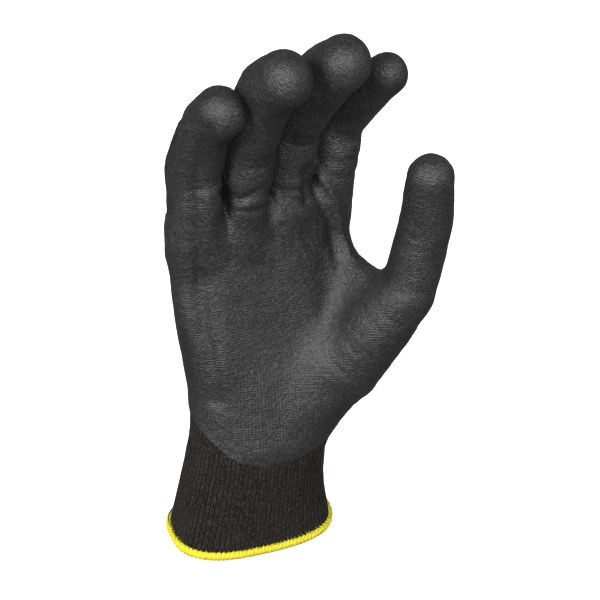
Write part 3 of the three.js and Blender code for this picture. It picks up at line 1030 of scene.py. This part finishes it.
def tube(path, radius, closed=False):
    """Points and faces of a round thread along a path."""
    ahead = np.roll(path, -1, axis=0)
    behind = np.roll(path, 1, axis=0)
    if not closed:
        ahead[-1], behind[0] = path[-1], path[0]
    tangent = ahead - behind
    tangent /= np.linalg.norm(tangent, axis=1)[:, None]
    helper = np.where(np.abs(tangent[:, 2:]) < 0.9, [[0.0, 0, 1]], [[1.0, 0, 0]])
    side = np.cross(tangent, helper)
    side /= np.linalg.norm(side, axis=1)[:, None]
    top = np.cross(side, tangent)
    turns = np.arange(THREAD_SIDES) / THREAD_SIDES * 2 * math.pi
    ring = side[:, None] * np.cos(turns)[None, :, None] + top[:, None] * np.sin(turns)[None, :, None]
    points = path[:, None] + ring * radius
    quads = ring_quads(len(path), THREAD_SIDES)[:, ::-1]
    if closed:
        joined = closing_quads(len(path), THREAD_SIDES)[:, ::-1]
        quads = np.concatenate([quads, np.roll(joined, 1, axis=1)])
    return points.reshape(-1, 3), quads


def join_tubes(tubes):
    starts = np.cumsum([0, *(len(points) for points, _ in tubes)])
    quads = [some + start for (_, some), start in zip(tubes, starts)]
    return np.concatenate([points for points, _ in tubes]), np.concatenate(quads)


# ---- Overlocked hem ----

STITCH_COUNT = 110
THREAD = 0.38
TOOTH_TOP = 6.0

# How much the stitches differ in height and in slant.
UNEVEN_HEIGHT = 0.045
UNEVEN_SLANT = 0.12

# One stitch over the edge, from the inside to the tooth and back: along the hem, out from the
# glove's outside, and up.
STITCH = (
    (0.30, -2.3, 5.0),
    (0.10, -2.75, 3.2),
    (-0.10, -2.6, 1.2),
    (-0.25, -1.3, 0.45),
    (-0.36, 0.2, 0.8),
    (-0.4, 0.75, 2.1),
    (-0.28, 0.62, 4.1),
    (0.0, 0.1, 6.0),
    (0.28, 0.62, 4.1),
    (0.4, 0.75, 2.1),
    (0.36, 0.2, 0.8),
    (0.5, -1.3, 0.45),
    (0.7, -2.6, 1.2),
    (0.9, -2.75, 3.2),
)

# The band of laid thread under the stitches: out from the glove's outside, and up.
BAND_OUTSIDE = ((0.25, 1.0), (0.6, 2.0), (0.5, 3.6), (-1.0, 4.4))
BAND_INSIDE = ((-2.3, 3.8), (-2.45, 2.0), (-2.1, 1.0), (-1.0, 0.55))


def hem_frame(count):
    """Points round the glove's bottom edge, with the directions along it and out of it."""
    edge = cuff_points(np.array([CUFF_BOTTOM]), even_directions(count))
    normal = outward(edge)[0]
    along = np.stack([-normal[:, 1], normal[:, 0], np.zeros(count)], axis=1)
    edge = edge[0] - (0, 0, CUFF_BOTTOM)
    return edge, along, normal


def add_hem(material):
    rng = np.random.default_rng(7)
    edge, along, normal = hem_frame(STITCH_COUNT)
    shape = np.array(STITCH)
    tubes = []
    for spot, side, out in zip(edge, along, normal):
        tall = 1 + rng.normal(0, UNEVEN_HEIGHT)
        lean = rng.normal(0, UNEVEN_SLANT)
        shift = shape[:, 0] + lean * shape[:, 2] / TOOTH_TOP
        rise = np.outer(shape[:, 2] * tall, (0, 0, 1))
        path = spot + np.outer(shift, side) + np.outer(shape[:, 1], out) + rise
        tubes.append(tube(path, THREAD))
    edge, _, normal = hem_frame(2 * STITCH_COUNT)
    section = (*BAND_OUTSIDE, *BAND_INSIDE)
    band = np.concatenate([edge + normal * out + np.array([0, 0, up]) for out, up in section])
    sizes = (len(section), len(edge))
    quads = np.concatenate([ring_quads(*sizes), closing_quads(*sizes)])
    points, quads = join_tubes([*tubes, (band, quads)])
    piece = add_mesh("hem_overlock_thread", points, quads, {"rest": points})
    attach(piece, "cuff")
    finish_piece(piece, material, "overlock_thread", "hem_overlock")


# ---- Elastic yarns laid in the cuff ----

# Each yarn is two twisted plies, pressed a little into the cuff and into each other.
ELASTIC_PLY = 0.26
ELASTIC_TURN = 3.0
ELASTIC_STEPS = 540
ELASTIC_PRESS = 0.1
ELASTIC_SWELL = 1.05


def add_elastics(material):
    names = sorted(name for name in frame["nodes"] if name.startswith("cuff_elastic"))
    directions = even_directions(ELASTIC_STEPS)
    for name in names:
        low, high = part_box(name)
        level = (low.z + high.z) / 2 / MM
        ring = cuff_points(np.array([level]), directions)
        normal = outward(ring)[0]
        line = ring[0] - normal * (KNIT_DEPTH + CUFF_WALL + 2 * ELASTIC_PLY - ELASTIC_PRESS)
        length = np.linalg.norm(np.roll(line, -1, axis=0) - line, axis=1).sum()
        turns = np.arange(ELASTIC_STEPS) / ELASTIC_STEPS * 2 * math.pi * round(length / ELASTIC_TURN)
        plies = []
        for phase in (0, math.pi):
            out = np.cos(turns + phase)[:, None] * normal
            rise = np.sin(turns + phase)[:, None] * np.array([0, 0, 1])
            path = line + (out + rise) * ELASTIC_PLY
            plies.append(tube(path, ELASTIC_PLY * ELASTIC_SWELL, closed=True))
        points, quads = join_tubes(plies)
        piece = add_mesh(f"{name}_yarn", points, quads, {"rest": points})
        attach(piece, "cuff")
        finish_piece(piece, material, "elastic_yarn", name)


# ---- Materials ----

# Each colour ramp's stops: a tone, and the linear colour there.
# The knit's lighter stops are partly a painted highlight on the raised stitches and fuzz, and its darker
# stops partly painted shade in the gaps between columns; the rest is the yarn's own flecked tone.
KNIT_COLOURS = (
    (0.35, (0.001, 0.0009, 0.0008)),
    (0.64, (0.0044, 0.0037, 0.0034)),
    (0.88, (0.045, 0.038, 0.034)),
)
# The coating's lighter stops are partly painted glints on the raised grain, and its darker stops partly
# painted shade in the pits; the slow change is the coating's own tone.
COATING_COLOURS = (
    (0.35, (0.006, 0.006, 0.0063)),
    (0.55, (0.019, 0.019, 0.02)),
    (0.75, (0.055, 0.055, 0.057)),
)
OVERLOCK_COLOURS = (
    (0.3, (0.62, 0.5, 0.008)),
    (0.5, (0.86, 0.76, 0.015)),
    (0.7, (0.95, 0.88, 0.04)),
)
ELASTIC_COLOURS = ((0.35, (0.02, 0.019, 0.018)), (0.65, (0.07, 0.066, 0.062)))

# The columns of stitches show through the coating up to between these levels.
WALES_SHOW = (70.0, 104.0)

# How steeply a stitch's legs slant.
LEG_SLANT = -1.3


class Shader:
    """A new material, and short calls that add nodes to it and join them."""

    def __init__(self, name, **values):
        self.material = bpy.data.materials.new(name)
        self.material.use_nodes = True
        self.tree = self.material.node_tree
        self.surface = self.tree.nodes["Principled BSDF"]
        for key, value in values.items():
            self.surface.inputs[key.replace("_", " ")].default_value = value

    def join(self, socket, value):
        if isinstance(value, bpy.types.NodeSocket):
            self.tree.links.new(value, socket)
        else:
            socket.default_value = value

    def attribute(self, name):
        node = self.tree.nodes.new("ShaderNodeAttribute")
        node.attribute_name = name
        return node.outputs["Vector"]

    def weave(self):
        """The place across and along the columns of stitches."""
        node = self.tree.nodes.new("ShaderNodeSeparateXYZ")
        self.join(node.inputs[0], self.attribute("weave"))
        return node.outputs["X"], node.outputs["Y"]

    def maths(self, operation, *values):
        node = self.tree.nodes.new("ShaderNodeMath")
        node.operation = operation
        for socket, value in zip(node.inputs, values):
            self.join(socket, value)
        return node.outputs[0]

    def total(self, *values):
        """The sum of value and weight pairs."""
        result = 0.0
        for value, weight in values:
            result = self.maths("MULTIPLY_ADD", value, weight, result)
        return result

    def noise(self, size, detail=2.0):
        """Noise in the rest position, with spots of about this size in millimetres."""
        node = self.tree.nodes.new("ShaderNodeTexNoise")
        self.join(node.inputs["Vector"], self.attribute("rest"))
        node.inputs["Scale"].default_value = 1 / size
        node.inputs["Detail"].default_value = detail
        return node.outputs["Fac"]

    def between(self, value, start, end, low=0.0, high=1.0):
        node = self.tree.nodes.new("ShaderNodeMapRange")
        node.interpolation_type = "SMOOTHSTEP"
        for socket, number in zip(node.inputs, (value, start, end, low, high)):
            self.join(socket, number)
        return node.outputs[0]

    def colour(self, value, *stops):
        node = self.tree.nodes.new("ShaderNodeValToRGB")
        elements = node.color_ramp.elements
        while len(elements) < len(stops):
            elements.new(0.5)
        for element, (place, shade) in zip(elements, stops):
            element.position = place
            element.color = (*shade, 1)
        self.join(node.inputs[0], value)
        self.join(self.surface.inputs["Base Color"], node.outputs[0])

    def bump(self, height, distance):
        node = self.tree.nodes.new("ShaderNodeBump")
        node.inputs["Distance"].default_value = distance * MM
        self.join(node.inputs["Height"], height)
        self.join(self.surface.inputs["Normal"], node.outputs[0])


def wave(shader, value, pitch):
    """A cosine from 0 to 1 with its crests one pitch apart."""
    turned = shader.maths("MULTIPLY", value, 2 * math.pi / pitch)
    return shader.maths("MULTIPLY_ADD", shader.maths("COSINE", turned), 0.5, 0.5)


def knit_material():
    """Brown-black yarn in columns of V-shaped stitches, painted lighter on the raised stitches and fuzz as a
    highlight, and darker in the gaps between columns as shade.
    """
    shader = Shader("knit_yarn", Roughness=0.9, Sheen_Weight=0.03, Specular_IOR_Level=0.15)
    column, row = shader.weave()
    side = shader.maths("PINGPONG", column, WALE / 2)
    gap = shader.between(side, WALE * 0.3, WALE * 0.5)
    leg = shader.maths("SINE", shader.maths("MULTIPLY", side, 2 * math.pi / WALE))
    slanted = shader.maths("MULTIPLY_ADD", side, LEG_SLANT, row)
    stitch = shader.maths("MULTIPLY", leg, wave(shader, slanted, COURSE))
    fuzz = shader.noise(0.35, 3)
    height = shader.total((leg, 0.4), (stitch, 0.6), (gap, -0.5), (fuzz, 0.6))
    shader.bump(height, 0.3)
    flecks = shader.noise(0.9, 2)
    worn = shader.noise(14)
    # The tone is a painted highlight on the raised stitches and fuzz and painted shade in the gaps between
    # columns; the flecks and the slow patches are the yarn's own colour.
    tone = shader.total((stitch, 0.2), (gap, -0.15), (fuzz, 0.3), (flecks, 0.9), (worn, 0.1))
    shader.colour(tone, *KNIT_COLOURS)
    return shader.material


def coating_material():
    """A thin dark grey dip that dried with a sandy grain over the knit's rows, painted lighter on the raised
    grain as glints and darker in the pits as shade.
    """
    shader = Shader("dipped_coating", Specular_IOR_Level=0.5)
    column, row = shader.weave()
    low = shader.between(row, *WALES_SHOW, 1.0, 0.0)
    wales = shader.maths("MULTIPLY", wave(shader, column, WALE), low)
    patchy = shader.between(shader.noise(9), 0.42, 0.62)
    courses = shader.maths("MULTIPLY", wave(shader, row, COURSE), patchy)
    grain = shader.noise(0.65, 2)
    pits = shader.noise(1.7, 1)
    shader.bump(shader.total((grain, 1.0), (pits, 0.75), (courses, 0.22), (wales, 0.2)), 0.42)
    # The tone is painted glints on the raised grain and painted shade in the pits, over the coating's own
    # slow change of tone.
    tone = shader.total((grain, 0.6), (pits, 0.25), (shader.noise(18), 0.2))
    shader.colour(tone, *COATING_COLOURS)
    rough = shader.total((grain, 0.2), (shader.noise(6), 0.15), (0.29, 1.0))
    shader.join(shader.surface.inputs["Roughness"], rough)
    return shader.material


def overlock_material():
    values = {"Roughness": 0.62, "Sheen_Weight": 0.15, "Specular_IOR_Level": 0.35}
    shader = Shader("yellow_overlock_thread", **values)
    fibre = shader.noise(0.3, 3)
    shader.bump(fibre, 0.15)
    tone = shader.total((fibre, 0.7), (shader.noise(3), 0.3))
    shader.colour(tone, *OVERLOCK_COLOURS)
    return shader.material


def elastic_material():
    shader = Shader("elastic_yarn", Roughness=0.7, Sheen_Weight=0.1, Specular_IOR_Level=0.4)
    fibre = shader.noise(0.25, 3)
    shader.bump(fibre, 0.12)
    shader.colour(fibre, *ELASTIC_COLOURS)
    return shader.material


# ---- Making the glove ----


def make_glove():
    points, quads = mesh_field(build_field())
    skin = Skin(relax(points, quads), quads)
    knit = knit_material()
    add_knit(skin, knit)
    add_coating(skin, coating_material())
    add_rib_cuff(knit)
    add_hem(overlock_material())
    add_elastics(elastic_material())


make_glove()

# ---- Camera, lights and floor ----

CAMERA_AZIMUTH = math.radians(-26)
CAMERA_ELEVATION = math.radians(34)
CAMERA_ROLL = math.radians(7.1)
CAMERA_DISTANCE = 850
LENS = 122
AIM = np.array([0.0, 0.0, 120.0])
AIM_RIGHT = 10.8
AIM_UP = 1.7
ROOM_LIGHT = 0.16


def add_camera():
    azimuth, elevation, roll = CAMERA_AZIMUTH, CAMERA_ELEVATION, CAMERA_ROLL
    level = np.array([math.sin(azimuth), -math.cos(azimuth), 0.0])
    toward = level * math.cos(elevation) + np.array([0, 0, math.sin(elevation)])
    right = np.array([math.cos(azimuth), math.sin(azimuth), 0.0])
    up = np.cross(toward, right)
    right, up = right * math.cos(roll) + up * math.sin(roll), up * math.cos(roll) - right * math.sin(roll)
    place = AIM + right * AIM_RIGHT + up * AIM_UP + toward * CAMERA_DISTANCE
    matrix = np.eye(4)
    matrix[:3] = np.column_stack([right, up, toward, place * MM])
    data = bpy.data.cameras.new("camera")
    data.lens = LENS
    camera = bpy.data.objects.new("camera", data)
    bpy.context.scene.collection.objects.link(camera)
    camera.matrix_world = Matrix(matrix.tolist())
    bpy.context.scene.camera = camera


# Each light's name, place, size and power. They all face the same spot.
LIGHTS = (
    ("key", (-0.9, -0.45, 0.75), (0.25, 0.4), 13),
    ("side", (0.8, -0.6, 0.85), (0.2, 0.4), 4),
    ("front", (-0.35, -1.0, 0.85), (0.4, 0.4), 14),
    ("back", (0.3, 1.2, 0.6), (0.6, 0.6), 16),
)
LIT_SPOT = (0, 0, 0.12)


def add_area_light(name, place, size, power):
    data = bpy.data.lights.new(name, "AREA")
    data.shape = "RECTANGLE"
    data.size, data.size_y = size
    data.energy = power
    light = bpy.data.objects.new(name, data)
    bpy.context.scene.collection.objects.link(light)
    light.location = place
    aim = Vector(LIT_SPOT) - Vector(place)
    light.rotation_euler = aim.to_track_quat("-Z", "Y").to_euler()
    # The back light edges the outline, and makes no gloss.
    light.visible_glossy = name != "back"


FLOOR_HALF = 3.0
FLOOR_DEPTH = 0.0015
FLOOR_VALUES = {
    "Base Color": (0.85, 0.85, 0.85, 1),
    "Roughness": 0.9,
    "Emission Color": (1, 1, 1, 1),
    "Emission Strength": 0.8,
}


def add_floor():
    """A bright floor that sheds no light on the glove."""
    corners = [(x * FLOOR_HALF, y * FLOOR_HALF, 0) for x, y in ((-1, -1), (1, -1), (1, 1), (-1, 1))]
    mesh = bpy.data.meshes.new("floor")
    mesh.from_pydata(corners, [], [(0, 1, 2, 3)])
    floor = bpy.data.objects.new("floor", mesh)
    floor.location.z = -FLOOR_DEPTH
    floor.visible_diffuse = False
    floor.visible_glossy = False
    bpy.context.scene.collection.objects.link(floor)
    material = bpy.data.materials.new("floor")
    material.use_nodes = True
    shader = material.node_tree.nodes["Principled BSDF"]
    for name, value in FLOOR_VALUES.items():
        shader.inputs[name].default_value = value
    mesh.materials.append(material)


def add_world():
    """White to the camera, and a dim room to everything else."""
    world = bpy.data.worlds.new("world")
    world.use_nodes = True
    background = world.node_tree.nodes["Background"]
    background.inputs["Color"].default_value = (1, 1, 1, 1)
    rays = world.node_tree.nodes.new("ShaderNodeLightPath")
    strength = world.node_tree.nodes.new("ShaderNodeMath")
    strength.operation = "MULTIPLY_ADD"
    strength.inputs[1].default_value = 1 - ROOM_LIGHT
    strength.inputs[2].default_value = ROOM_LIGHT
    world.node_tree.links.new(rays.outputs["Is Camera Ray"], strength.inputs[0])
    world.node_tree.links.new(strength.outputs[0], background.inputs["Strength"])
    bpy.context.scene.world = world


add_camera()
add_floor()
add_world()
for light_values in LIGHTS:
    add_area_light(*light_values)
bpy.context.scene.view_settings.view_transform = "Standard"
